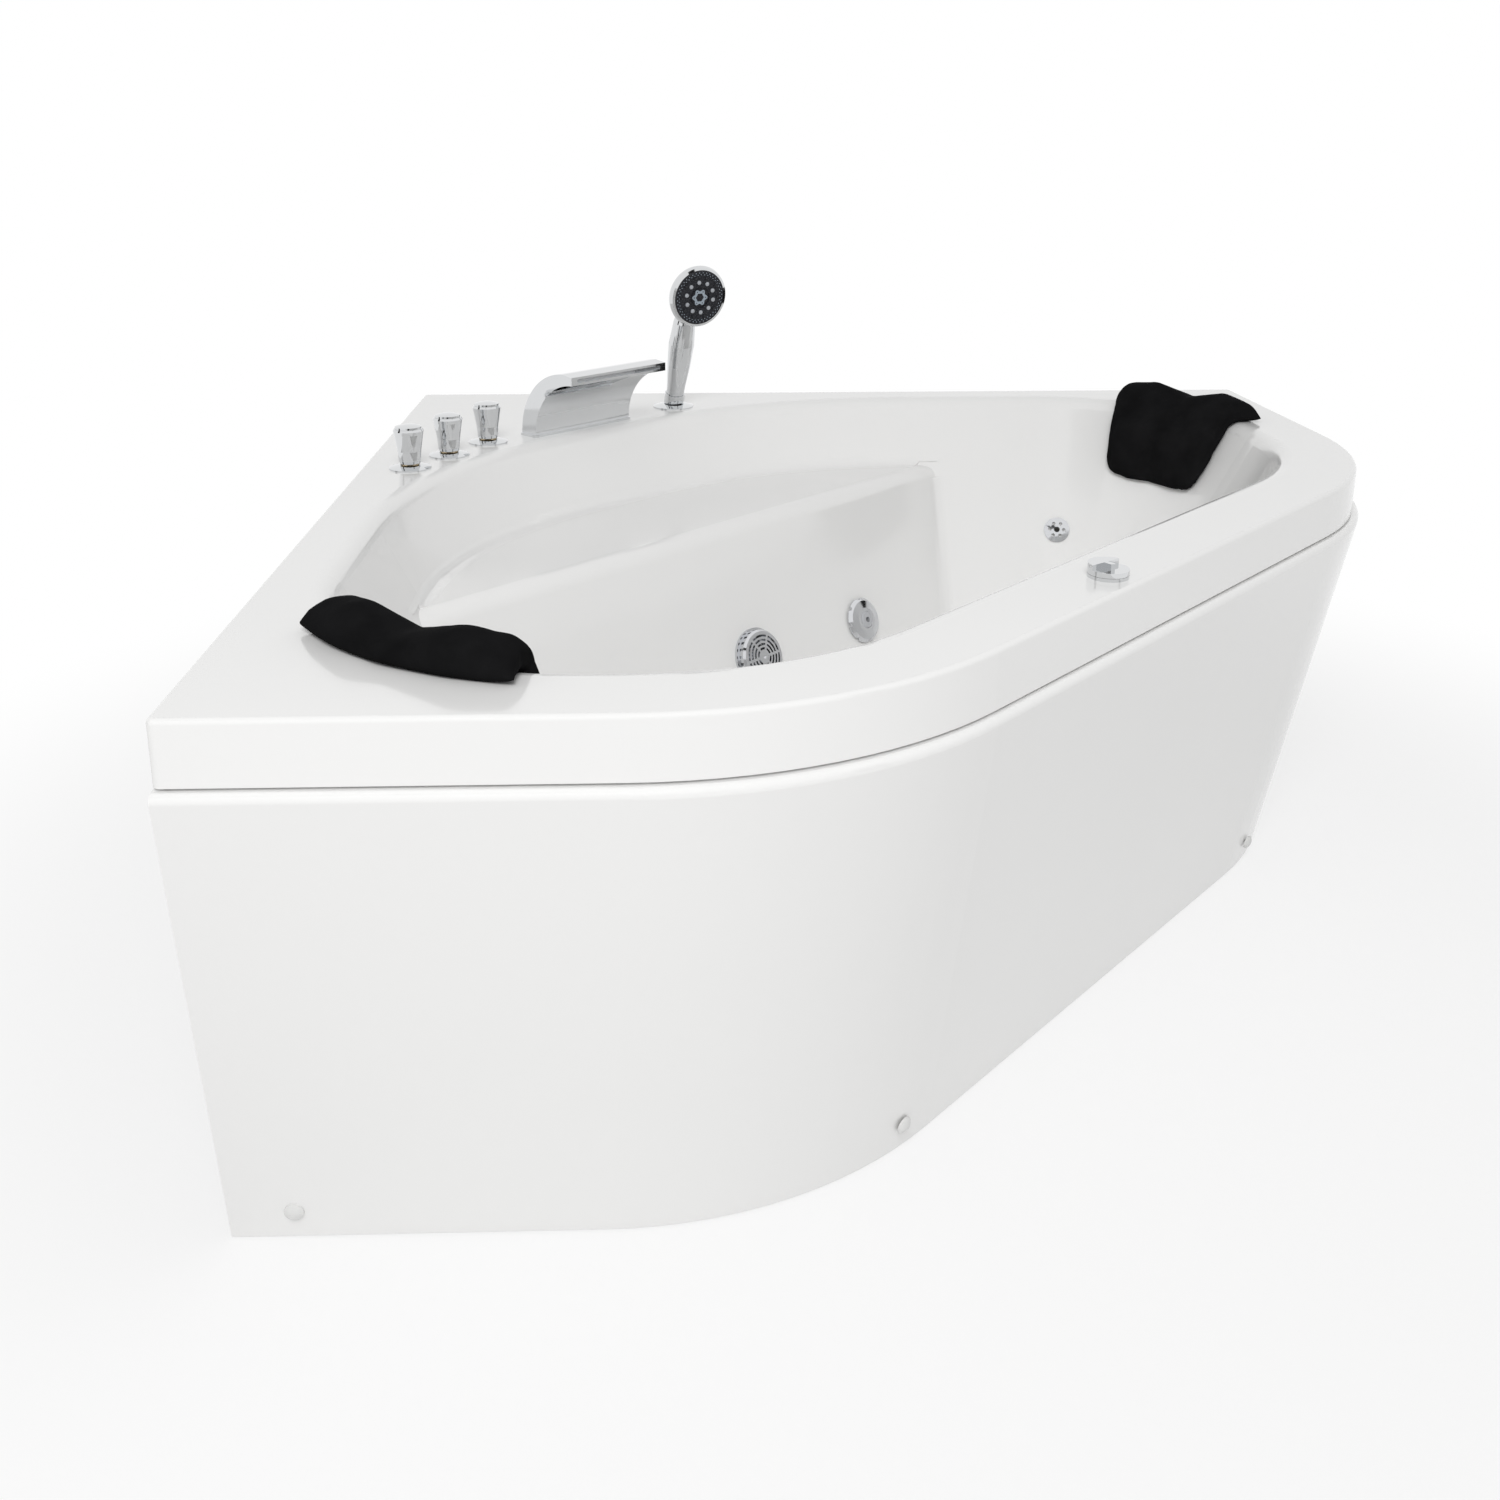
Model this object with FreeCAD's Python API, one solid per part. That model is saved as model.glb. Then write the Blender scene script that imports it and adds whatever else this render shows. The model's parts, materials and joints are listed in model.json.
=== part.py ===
import FreeCAD, Part
import math
import os
from FreeCAD import Placement, Rotation, Vector

# A corner bathtub stands with its back and left sides against two walls.
# Plan sizes are measured from those walls: u runs from the left wall to the
# right, v from the back wall to the front.  On the diagonal of the plan, s runs
# from the wall corner to the cut-off front and t across it, so that the tub is
# the same on both sides of t = 0.  Sizes are in mm and angles in degrees.

# Deck and lip
SIDE = 1500.0
RIM_HEIGHT = 600.0
STRAIGHT_FRONT = 616.0
FRONT_BEND = 503.0
DECK_CORNER = 8.0
SHELL = 6.0
LIP_DEPTH = 64.0
LIP_ROLL = 5.0

# Basin
SIDE_LEDGE = 56.0
FRONT_LEDGE = 87.0
DIAGONAL_LEDGE = 88.0
BACK_LINE = 452.0
BENCH_LINE = 747.0
WALL_LEAN = 27.0
BENCH_LEAN = 21.0
SEAT_DEPTH = 110.0
BASIN_DEPTH = 430.0
SHELF_CUT = 810.0
END_BEND = 320.0
FRONT_BASIN_BEND = 416.0
BACK_BEND = 700.0
RIM_ROLL = 30.0
FLOOR_ROLL = 40.0
SEAT_ROLL = 25.0
NOSE_ROLL = 30.0

# Front skirt
SKIRT_PROUD = 10.0
SKIRT_INSET = 79.0
SKIRT_THICK = 5.0
SKIRT_BOTTOM = 2.0
SKIRT_REVEAL = 3.0
SKIRT_SHOULDER = 8.0
TONGUE_HEIGHT = 25.0
SKIRT_BEND = 503.0
SKIRT_TOP = RIM_HEIGHT - LIP_DEPTH - SKIRT_REVEAL
SKIRT_LEAN = math.degrees(math.atan((SKIRT_INSET + SKIRT_PROUD) / SKIRT_TOP))

# Frame and feet
TUBE = 30.0
TUBE_WALL = 2.5
RAIL_HEIGHT = 20.0
WALL_GAP = 15.0
RAIL_INSET = 100.0
RAIL_CHAMFER = 110.0
BOARD = 12.0
BOARD_REACH = 440.0
BEARER_INSETS = (596.0, 366.0)
LEG_REACH = 230.0
PAD_RADIUS = 25.0
PAD_HEIGHT = 10.0
ROD_RADIUS = 6.0

# Fittings: places as (u, v) or (s, t), radii and heights
KNOB_PLACES = {"hot": (72.0, 585.0), "cold": (117.0, 503.0), "diverter": (165.0, 413.0)}
KNOB_HEIGHT = 65.0
KNOB_RADIUS = 22.0
KNOB_FLUTES = 10
ESCUTCHEON_RADIUS = 30.5
VALVE_RADIUS = 14.0
AIR_INSET = 36.0
AIR_SIDE = -138.0
AIR_RADIUS = 23.0
SHOWER_PLACE = (458.0, 131.0)
SHOWER_TURN = 27.0
SHOWER_LEAN = 16.0
SHOWER_FLANGE = 35.5
SPOUT_WIDTH = 204.0
SPOUT_BACK = 404.0
SPOUT_FRONT = 438.0
SPOUT_LIP = 527.0
SPOUT_RISE = 108.0
SPOUT_EDGE = 15.0
GRILLE_RADIUS = 46.0
GRILLE_Z = 297.0
JET_Z = 291.0
JET_SPREAD = 258.0
BEZEL_RADIUS = 37.0
BALL_RADIUS = 17.0
BACK_JET_RADIUS = 22.0
BACK_JET_Z = 383.0
BACK_JET_ANGLE = 31.2
BACK_JET_DEPTH = 45.0
BACK_JET_SEAT = 1.6
DRAIN_INSET = 481.0
DRAIN_RADIUS = 35.0
OVERFLOW_Z = 520.0
OVERFLOW_RADIUS = 33.0
PILLOW_ANGLE = 10.4
PILLOW_SPAN = 24.0
PILLOW_DROP = 128.0

# Necks, stems and nuts
STEM_RADIUS = 5.0
AIR_NECK = 13.0
AIR_STEM = 8.0
GUIDE_RADIUS = 14.0
GRIP_FOOT = 11.0
SHANK_RADIUS = 9.0
SHANK_SPREAD = 55.0
BACK_JET_NECK = 11.0
OVERFLOW_NECK = 20.0
OVERFLOW_STEM = 9.0
DRAIN_NECK = 27.0
DRAIN_BORE = 22.0
PLUG_STEM = 4.0
NUT_WALL = 1.45
NUT_HEIGHT = 9.0
SCREW_RADIUS = 2.6
SCREW_LENGTH = 18.0
SCREW_SPREAD = 438.0
SCREW_MARGIN = 67.0

# Fits
RUNNING = 0.08
BALL_ROOM = 0.25
SEATING = 0.3
HOLE_ROOM = 0.5
ROOT2 = math.sqrt(2)
SKIRT_REACH = SKIRT_PROUD - SKIRT_SHOULDER * (
    math.tan(math.radians(SKIRT_LEAN)) + 1 / math.cos(math.radians(SKIRT_LEAN)) - 1)
HALF = (SIDE + SKIRT_REACH) / 2
DIAGONAL_LINE = (SIDE + STRAIGHT_FRONT) / ROOT2
BEARERS = [DIAGONAL_LINE - inset for inset in BEARER_INSETS]
DRAIN_LINE = DIAGONAL_LINE - DRAIN_INSET
UP = Vector(0, 0, 1)
PARTS = {}


def sin(angle):
    return math.sin(math.radians(angle))


def cos(angle):
    return math.cos(math.radians(angle))


def tan(angle):
    return math.tan(math.radians(angle))


def at(u, v, z=0.0):
    return Vector(u - HALF, HALF - v, z)


def diag(s, t, z=0.0):
    return at((s + t) / ROOT2, (s - t) / ROOT2, z)


def across(s, t, z=0.0):
    """A direction given by its parts along s, t and z."""
    return diag(s, t, z) - diag(0, 0, 0)


# General solids

def bends(corners, radii, z):
    """Start, middle, end, centre and turn of the bend at each corner of a plan outline."""
    points = [at(u, v, z) for u, v in corners]
    runs = []
    for index, corner in enumerate(points):
        before = (points[index - 1] - corner).normalize()
        after = (points[(index + 1) % len(points)] - corner).normalize()
        half = before.getAngle(after) / 2
        inward = (before + after).normalize()
        reach = radii[index] / math.tan(half)
        centre = corner + inward * (radii[index] / math.sin(half))
        middle = centre - inward * radii[index]
        turn = 180 - 2 * math.degrees(half)
        runs.append((corner + before * reach, middle, corner + after * reach, centre, turn))
    return runs


def outline(corners, radii, z):
    runs = bends(corners, radii, z)
    edges = []
    for index, (start, middle, end, centre, turn) in enumerate(runs):
        if radii[index] > 0:
            edges.append(Part.Arc(start, middle, end).toShape())
        edges.append(Part.LineSegment(end, runs[(index + 1) % len(runs)][0]).toShape())
    return Part.Wire(edges)


def prism(corners, radii, z, height):
    return Part.Face(outline(corners, radii, z)).extrude(UP * height)


def tapered(corners_at, radii_at, top, bottom):
    """A solid between two depths with flat walls and right cones round its bends."""
    high = bends(corners_at(top), radii_at(top), RIM_HEIGHT - top)
    low = bends(corners_at(bottom), radii_at(bottom), RIM_HEIGHT - bottom)
    faces = []
    for index, (start, middle, end, centre, turn) in enumerate(high):
        following = (index + 1) % len(high)
        if (start - end).Length > 0.001:
            slope = Part.LineSegment(start, low[index][0]).toShape()
            way = math.copysign(1, UP.dot((start - centre).cross(end - centre)))
            faces += slope.revolve(centre, UP * way, turn).Faces
        corners = [end, high[following][0], low[following][0], low[index][2], end]
        faces.append(Part.Face(Part.makePolygon(corners)))
    for depth in (top, bottom):
        faces.append(Part.Face(outline(corners_at(depth), radii_at(depth), RIM_HEIGHT - depth)))
    shell = Part.makeShell(faces)
    shell.sewShape()
    solid = Part.makeSolid(shell)
    if solid.Volume < 0:
        solid.reverse()
    return solid


def rod(radius, low, high, centre=(0.0, 0.0)):
    return Part.makeCylinder(radius, high - low, Vector(centre[0], centre[1], low))


def ring(outer, inner, low, high):
    return rod(outer, low, high).cut(rod(inner, low - 1, high + 1))


def turned(points):
    """A solid turned about Z from (radius, height) points."""
    corners = [Vector(radius, 0, height) for radius, height in points]
    return Part.Face(Part.makePolygon(corners + corners[:1])).revolve(Vector(), UP, 360)


def domed(radius, low, high, rise):
    """A disc with a crowned top: its edge stands at high - rise and its crown at high."""
    crown = (radius ** 2 + rise ** 2) / (2 * rise)
    return rod(radius, low, high).common(Part.makeSphere(crown, Vector(0, 0, high - crown)))


def placed(shape, point, direction=UP, spin=0.0):
    """A shape built about Z, stood at a point: its Z goes along a direction, its Y as near up as it can."""
    turn = Rotation(UP, spin)
    if direction.cross(UP).Length > 0.001:
        turn = Rotation(Vector(), UP, direction, "ZYX").multiply(turn)
    moved = shape.copy()
    moved.Placement = Placement(point, turn).multiply(moved.Placement)
    return moved


def hexagon(radius, low, high):
    corners = [Vector(radius * cos(60 * k), radius * sin(60 * k), low) for k in range(7)]
    return Part.Face(Part.makePolygon(corners)).extrude(UP * (high - low))


def nut(neck, top=-SHELL, height=NUT_HEIGHT):
    """A back nut on a round neck, its top under the wall that it clamps."""
    return hexagon(neck * NUT_WALL, top - height, top).cut(rod(neck, top - height - 1, top + 1))


def pipe(points, radius, bend):
    """A round pipe along straight runs joined by bends."""
    edges = []
    start = points[0]
    for index in range(1, len(points) - 1):
        before = (points[index - 1] - points[index]).normalize()
        after = (points[index + 1] - points[index]).normalize()
        half = before.getAngle(after) / 2
        reach = bend / math.tan(half)
        inward = (before + after).normalize()
        middle = points[index] + inward * (bend / math.sin(half) - bend)
        enter = points[index] + before * reach
        leave = points[index] + after * reach
        edges.append(Part.LineSegment(start, enter).toShape())
        edges.append(Part.Arc(enter, middle, leave).toShape())
        start = leave
    edges.append(Part.LineSegment(start, points[-1]).toShape())
    way = (points[1] - points[0]).normalize()
    mouth = Part.Wire([Part.Circle(points[0], way, radius).toShape()])
    return Part.Wire(edges).makePipeShell([mouth], True, False, 2)


def quad_tube(corners, low):
    """A square tube whose ends are cut to four plan corners: two on one side, two on the other."""
    points = [Vector(corner.x, corner.y, low) for corner in corners]
    solid = Part.Face(Part.makePolygon(points + points[:1])).extrude(UP * TUBE)
    share = TUBE_WALL / TUBE
    opposite = (3, 2, 1, 0)
    lift = UP * TUBE_WALL
    core = [points[k] + (points[opposite[k]] - points[k]) * share + lift for k in range(4)]
    bore = Part.Face(Part.makePolygon(core + core[:1])).extrude(UP * (TUBE - 2 * TUBE_WALL))
    return solid.cut(bore)


def post(centre, low, high, spin=0.0):
    """An upright square tube."""
    room = TUBE - 2 * TUBE_WALL
    solid = Part.makeBox(TUBE, TUBE, high - low, Vector(-TUBE / 2, -TUBE / 2, low))
    solid = solid.cut(Part.makeBox(room, room, high - low, Vector(-room / 2, -room / 2, low)))
    return placed(solid, Vector(centre.x, centre.y, 0), UP, spin)


def level_edges(solid, z):
    return [edge for edge in solid.Edges if all(abs(v.Point.z - z) < 0.001 for v in edge.Vertexes)]


def plan_place(edge):
    middle = edge.valueAt((edge.FirstParameter + edge.LastParameter) / 2)
    u = middle.x + HALF
    v = HALF - middle.y
    return u, v, (u + v) / ROOT2


def keep(name, *solids):
    pieces = []
    for solid in solids:
        pieces += solid.Solids
    PARTS[name] = pieces[0] if len(pieces) == 1 else Part.makeCompound(pieces)


# Basin walls: one set of formulas serves the cavity, the outer skin and the fittings

def draw_in(depth, skin=0.0):
    """How far a wall has come in from the rim's edge at a depth, or its outer skin there."""
    return RIM_ROLL * tan((90 - WALL_LEAN) / 2) + depth * tan(WALL_LEAN) - skin / cos(WALL_LEAN)


def bench_line(depth, skin=0.0):
    return BENCH_LINE + (depth - SEAT_DEPTH) * tan(BENCH_LEAN) - skin / cos(BENCH_LEAN)


def well_corners(depth, skin):
    side = SIDE_LEDGE + draw_in(depth, skin)
    near = SIDE - FRONT_LEDGE - draw_in(depth, skin)
    step = ROOT2 * (DIAGONAL_LINE - DIAGONAL_LEDGE - draw_in(depth, skin)) - near
    far = ROOT2 * bench_line(depth, skin) - side
    return [(far, side), (near, side), (near, step), (step, near), (side, near), (side, far)]


def well_radii(depth, skin):
    end = END_BEND - draw_in(depth, skin)
    front = FRONT_BASIN_BEND - draw_in(depth, skin)
    return [0, end, front, front, end, 0]


def shelf_corners(depth, skin):
    side = SIDE_LEDGE + draw_in(depth, skin)
    far = ROOT2 * (BACK_LINE + draw_in(depth, skin)) - side
    cut = ROOT2 * SHELF_CUT - side
    return [(cut, side), (side, cut), (side, far), (far, side)]


def shelf_radii(depth, skin):
    back = BACK_BEND - draw_in(depth, skin)
    return [0, 0, back, back]


def nose_filler(skin):
    """The wedge of air that rounds the bench's nose, kept between the side walls."""
    roll = NOSE_ROLL - skin
    z = RIM_HEIGHT - SEAT_DEPTH - skin
    edge = bench_line(SEAT_DEPTH + skin, skin)
    reach = roll * tan((90 - BENCH_LEAN) / 2)
    half_turn = (90 - BENCH_LEAN) / 2
    first = (edge - reach, z)
    middle = (edge - reach + roll * sin(half_turn), z - roll + roll * cos(half_turn))
    last = (edge + reach * sin(BENCH_LEAN), z - reach * cos(BENCH_LEAN))
    beyond = edge + 2 * NOSE_ROLL
    above = z + SHELL
    corners = [last, (beyond, last[1]), (beyond, above), (first[0], above), first]
    points = [diag(s, -SIDE / 2, height) for s, height in corners]
    arc = Part.Arc(*[diag(s, -SIDE / 2, height) for s, height in (first, middle, last)])
    wedge = Part.Face(Part.Wire([arc.toShape(), Part.makePolygon(points)])).extrude(across(0, SIDE))
    depth = SEAT_DEPTH + skin
    between = tapered(lambda d: shelf_corners(d, skin), lambda d: [0] * 4, depth - SHELL, depth + NOSE_ROLL)
    return wedge.common(between)


def basin(skin):
    """The basin's air, or with a skin the outside of the basin."""
    deep = BASIN_DEPTH + skin
    seat = SEAT_DEPTH + skin
    well = tapered(lambda d: well_corners(d, skin), lambda d: well_radii(d, skin), skin, deep)
    shelf = tapered(lambda d: shelf_corners(d, skin), lambda d: shelf_radii(d, skin), skin, seat)
    if skin == 0:
        corners = [at(*well_corners(deep, 0)[k], RIM_HEIGHT - deep) for k in (0, 5)]
        creases = []
        for edge in well.Edges:
            ends = [vertex.Point for vertex in edge.Vertexes]
            if abs(ends[0].z - ends[1].z) > SEAT_DEPTH:
                creases += [edge for corner in corners if min((p - corner).Length for p in ends) < 0.01]
        well = well.makeFillet(FLOOR_ROLL, creases + level_edges(well, RIM_HEIGHT - deep))
        rounded = [e for e in level_edges(shelf, RIM_HEIGHT - seat) if plan_place(e)[2] < SHELF_CUT - 5]
        shelf = shelf.makeFillet(SEAT_ROLL, rounded)
    return well.fuse([shelf, nose_filler(skin)]).removeSplitter()


def deck_corners(inset):
    near = SIDE - inset
    step = ROOT2 * (DIAGONAL_LINE - inset) - near
    return [(inset, inset), (near, inset), (near, step), (step, near), (inset, near)]


def deck_radii(inset):
    bend = FRONT_BEND - inset
    return [DECK_CORNER, DECK_CORNER, bend, bend, DECK_CORNER]


def over_basin(edge):
    margin = SIDE_LEDGE / 2
    for vertex in edge.Vertexes:
        u = vertex.X + HALF
        v = HALF - vertex.Y
        if min(u, v) < margin or max(u, v) > SIDE - margin or (u + v) / ROOT2 > DIAGONAL_LINE - margin:
            return False
    return True


def tub_body():
    base = RIM_HEIGHT - LIP_DEPTH
    block = prism(deck_corners(0), deck_radii(0), base, LIP_DEPTH)
    block = block.makeFillet(LIP_ROLL, level_edges(block, RIM_HEIGHT))
    deck = block.cut(prism(deck_corners(SHELL), deck_radii(SHELL), base - 1, LIP_DEPTH - SHELL + 1))
    body = deck.fuse(basin(SHELL))
    under = [edge for edge in level_edges(body, RIM_HEIGHT - SHELL) if over_basin(edge)]
    body = body.makeFillet(RIM_ROLL - SHELL, under)
    body = body.cut(basin(0.0))
    rim = [edge for edge in level_edges(body, RIM_HEIGHT) if over_basin(edge)]
    return body.makeFillet(RIM_ROLL, rim)


# Places of the fittings on the basin's walls: point and direction into the basin

BENCH_WAY = across(cos(BENCH_LEAN), 0, sin(BENCH_LEAN))


def bench_place(t, z):
    return diag(bench_line(RIM_HEIGHT - z), t, z), BENCH_WAY


def near_wall_place(z):
    line = DIAGONAL_LINE - DIAGONAL_LEDGE - draw_in(RIM_HEIGHT - z)
    return diag(line, 0, z), across(-cos(WALL_LEAN), 0, sin(WALL_LEAN))


def end_place(side, angle, z):
    """A place on the round end wall: side is 1 for the right end and -1 for the left."""
    centre_u = SIDE - FRONT_LEDGE - END_BEND
    centre_v = SIDE_LEDGE + END_BEND
    s, t = (centre_u + centre_v) / ROOT2, (centre_u - centre_v) / ROOT2
    radius = END_BEND - draw_in(RIM_HEIGHT - z)
    point = diag(s + radius * sin(angle), side * (t + radius * cos(angle)), z)
    way = across(-sin(angle) * cos(WALL_LEAN), -side * cos(angle) * cos(WALL_LEAN), sin(WALL_LEAN))
    return point, way


def back_jet_places():
    angles = (-BACK_JET_ANGLE, BACK_JET_ANGLE)
    return [end_place(side, angle, BACK_JET_Z) for side in (-1, 1) for angle in angles]


# Suction fitting

SUCTION_NECK = 24.0
CLAMP = 12.0


def suction_fitting():
    point, way = bench_place(0, GRILLE_Z)
    neck = ring(SUCTION_NECK, SUCTION_NECK - 3, -50, 0)
    face = ring(GRILLE_RADIUS, SUCTION_NECK - 3, 0, 4)
    keep("suction_body", placed(neck.fuse(face), point, way))
    keep("suction_grille", placed(grille_cover(), point, way))
    elbow = point - way * 95
    keep("suction_elbow", pipe([point - way * 50, elbow, elbow - UP * 55], SUCTION_NECK, 28))
    return elbow - UP * 55, placed(nut(SUCTION_NECK, -SHELL, CLAMP), point, way)


def grille_cover():
    """A safety cover: a domed cup with rows of curved slots, open all round its foot."""
    radius = GRILLE_RADIUS - 4
    cover = turned([(0, 4), (radius, 4), (radius, 13), (radius - 3, 16.5), (0, 18)])
    cover = cover.cut(turned([(0, 3), (radius - 4, 3), (radius - 4, 12), (0, 15)]))
    rows, sectors = 4, 6
    pitch = (radius - 16) / rows
    for row in range(rows):
        inner = 11 + row * pitch
        band = ring(inner + pitch * 0.5, inner, 10, 20)
        spokes = [placed(Part.makeBox(60, 4, 20, Vector(0, -2, 5)), Vector(), UP, 360 / sectors * k)
                  for k in range(sectors)]
        cover = cover.cut(band.cut(Part.makeCompound(spokes)))
    notch = Part.makeBox(8, 4, 6, Vector(radius - 6, -2, 6))
    notches = [placed(notch, Vector(), UP, 15 * k) for k in range(24)]
    cover = cover.cut(Part.makeCompound(notches))
    return cover.fuse(ring(7, 3, 4, 15)).removeSplitter()


# Jets

JET_NECK = 20.0
JET_BRANCH = -46.0
JET_RISER = 70.0


def bench_jets():
    bodies, nuts = [], []
    for name, t in (("left", -JET_SPREAD), ("right", JET_SPREAD)):
        point, way = bench_place(t, JET_Z)
        seat = BALL_RADIUS + BALL_ROOM
        body = rod(JET_NECK, -62, 0).fuse(rod(JET_NECK + 8, 0, 3))
        body = body.cut(Part.makeSphere(seat, Vector(0, 0, 2)))
        body = body.cut(rod(8, -45, 2)).cut(rod(12, 1, 5))
        body = body.fuse(placed(rod(11, 10, JET_RISER), Vector(0, 0, JET_BRANCH), Vector(0, 1, 0)))
        bodies.append(placed(body, point, way))
        nuts.append(placed(nut(JET_NECK, -SHELL, CLAMP), point, way))
        bezel = turned([(13, 3 + SEATING), (BEZEL_RADIUS, 3 + SEATING), (BEZEL_RADIUS, 5),
                        (BEZEL_RADIUS - 5, 10), (20, 12), (13, 12)])
        bezel = bezel.cut(Part.makeSphere(seat, Vector(0, 0, 2)))
        grips = [placed(rod(4, 0, 20, (BEZEL_RADIUS + 1, 0)), Vector(), UP, 45 * k) for k in range(8)]
        bezel = bezel.cut(Part.makeCompound(grips))
        keep("jet_bezel_" + name, placed(bezel, point, way))
        ball = Part.makeSphere(BALL_RADIUS, Vector(0, 0, 2))
        ball = ball.common(rod(BALL_RADIUS, -9, 14.5))
        ball = ball.cut(turned([(0, -10), (7, -10), (4.5, 15), (0, 15)]))
        keep("jet_nozzle_" + name, placed(ball, point, way))
    return bodies, nuts


def back_jets():
    bodies, faces, nuts = [], [], []
    for point, way in back_jet_places():
        body = rod(BACK_JET_NECK, -BACK_JET_DEPTH, BACK_JET_SEAT).cut(rod(6, -30, 3))
        bodies.append(placed(body, point, way))
        face = domed(BACK_JET_RADIUS, BACK_JET_SEAT, 7, 4).cut(rod(5, -2, 8))
        slots = [placed(rod(3, -2, 9, (12, 0)), Vector(), UP, 60 * k) for k in range(6)]
        faces.append(placed(face.cut(Part.makeCompound(slots)), point, way))
        nuts.append(placed(nut(BACK_JET_NECK, -SHELL - 2), point, way))
    keep("back_jet_bodies", *bodies)
    keep("back_jet_faces", *faces)
    return nuts


# Deck fittings

def knob_solid():
    """A fluted handle, narrow at its foot, on a stem that turns in the valve."""
    top = KNOB_HEIGHT - 6
    handle = turned([(0, 8), (15, 8), (16, 12), (17, 26), (KNOB_RADIUS - 1, top - 8), (KNOB_RADIUS, top - 3),
                     (KNOB_RADIUS - 1.5, top), (0, top)])
    flutes = []
    for index in range(KNOB_FLUTES):
        flute = placed(rod(4.5, 0, 80), Vector(KNOB_RADIUS + 2.5, 0, -8), Vector(1.2, 0, 12))
        flutes.append(placed(flute, Vector(), UP, 360 / KNOB_FLUTES * index))
    handle = handle.cut(Part.makeCompound(flutes))
    return handle.fuse(rod(STEM_RADIUS, -8, 9)).removeSplitter()


VALVE_DEPTH = 75.0
TAIL_LENGTH = 50.0
TAIL_RADIUS = 10.0


def valves():
    bodies, nuts, flanges = [], [], []
    for name, (u, v) in KNOB_PLACES.items():
        point = at(u, v, RIM_HEIGHT)
        body = rod(VALVE_RADIUS, -VALVE_DEPTH, 4).cut(rod(STEM_RADIUS + RUNNING, -9, 5))
        if name != "diverter":
            body = body.fuse(rod(TAIL_RADIUS, -VALVE_DEPTH - TAIL_LENGTH, -VALVE_DEPTH))
        bodies.append(placed(body, point))
        nuts.append(placed(nut(VALVE_RADIUS), point))
        flanges.append(placed(domed(ESCUTCHEON_RADIUS, 0, 7, 5).cut(rod(VALVE_RADIUS, -1, 9)), point))
        keep("knob_" + name, placed(knob_solid(), point))
        keep("knob_cap_" + name, placed(domed(19, KNOB_HEIGHT - 6, KNOB_HEIGHT, 3), point))
    keep("valve_bodies", *bodies)
    keep("escutcheons", *flanges)
    return bodies, nuts


def air_control():
    point = diag(DIAGONAL_LINE - AIR_INSET, AIR_SIDE, RIM_HEIGHT)
    body = rod(AIR_NECK, -46, 0).fuse(ring(AIR_RADIUS, AIR_STEM, 0, 4))
    body = placed(body.cut(rod(AIR_STEM, -20, 5)), point)
    keep("air_control_body", body.fuse(placed(rod(7, 10, 34), point - UP * 36, across(0, 1))))
    dial = rod(AIR_RADIUS, 4 + SEATING, 10).fuse(rod(AIR_STEM - RUNNING, -15, 10))
    half = rod(AIR_RADIUS, 10, 16).cut(Part.makeBox(60, 70, 10, Vector(-30, -66, 10)))
    dial = dial.fuse([half, Part.makeBox(7, 14, 6, Vector(-3.5, -6, 10))]).removeSplitter()
    keep("air_control_dial", placed(dial, point, UP, 35))
    return placed(nut(AIR_NECK), point)


def spout():
    """A sheet-flow spout: an arched plate that stands on the deck and leans out over the basin."""
    tip = RIM_HEIGHT + SPOUT_RISE
    foot = RIM_HEIGHT + 4
    hub = SPOUT_LIP - 2
    inner_rise = tip - SPOUT_EDGE - RIM_HEIGHT
    inner_mid = (hub - (hub - SPOUT_FRONT) * cos(48), RIM_HEIGHT + inner_rise * sin(48))
    outer_mid = (hub - (hub - SPOUT_BACK) * cos(42), RIM_HEIGHT + SPOUT_RISE * sin(42) * 1.08)
    outer_end = (SPOUT_LIP - 22, tip + 1)
    edge = -SPOUT_WIDTH / 2

    def side(point):
        return diag(point[0], edge, point[1])
    lip_low = (SPOUT_LIP, tip - SPOUT_EDGE)
    lip_high = (SPOUT_LIP, tip - 2)
    edges = [Part.Arc(side((SPOUT_FRONT, foot)), side(inner_mid), side(lip_low)).toShape()]
    edges += Part.makePolygon([side(lip_low), side(lip_high), side(outer_end)]).Edges
    edges.append(Part.Arc(side(outer_end), side(outer_mid), side((SPOUT_BACK, foot))).toShape())
    edges.append(Part.LineSegment(side((SPOUT_BACK, foot)), side((SPOUT_FRONT, foot))).toShape())
    plate = Part.Face(Part.Wire(edges)).extrude(across(0, SPOUT_WIDTH))
    slot = Part.makeBox(40, SPOUT_WIDTH - 24, 6, Vector(-30, -SPOUT_WIDTH / 2 + 12, -3))
    mouth = diag(SPOUT_LIP, 0, tip - SPOUT_EDGE / 2 - 1)
    slot = placed(slot, mouth).copy()
    slot.rotate(mouth, UP, -45)
    keep("spout", plate.cut(slot))
    middle = (SPOUT_BACK + SPOUT_FRONT) / 2
    width = SPOUT_FRONT - SPOUT_BACK + 8
    base = Part.makeBox(width, SPOUT_WIDTH + 8, 4, Vector(-width / 2, -SPOUT_WIDTH / 2 - 4, 0))
    base = base.makeFillet(8, [e for e in base.Edges if abs(e.Vertexes[0].Z - e.Vertexes[1].Z) > 3])
    base.rotate(Vector(), UP, -45)
    base.translate(diag(middle, 0, RIM_HEIGHT))
    shanks, nuts = [], []
    for t in (-SHANK_SPREAD, SHANK_SPREAD):
        shanks.append(placed(rod(SHANK_RADIUS, -60, 0), diag(middle, t, RIM_HEIGHT)))
        nuts.append(placed(nut(SHANK_RADIUS), diag(middle, t, RIM_HEIGHT)))
    keep("spout_base", base.fuse(shanks))
    return shanks, nuts


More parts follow.
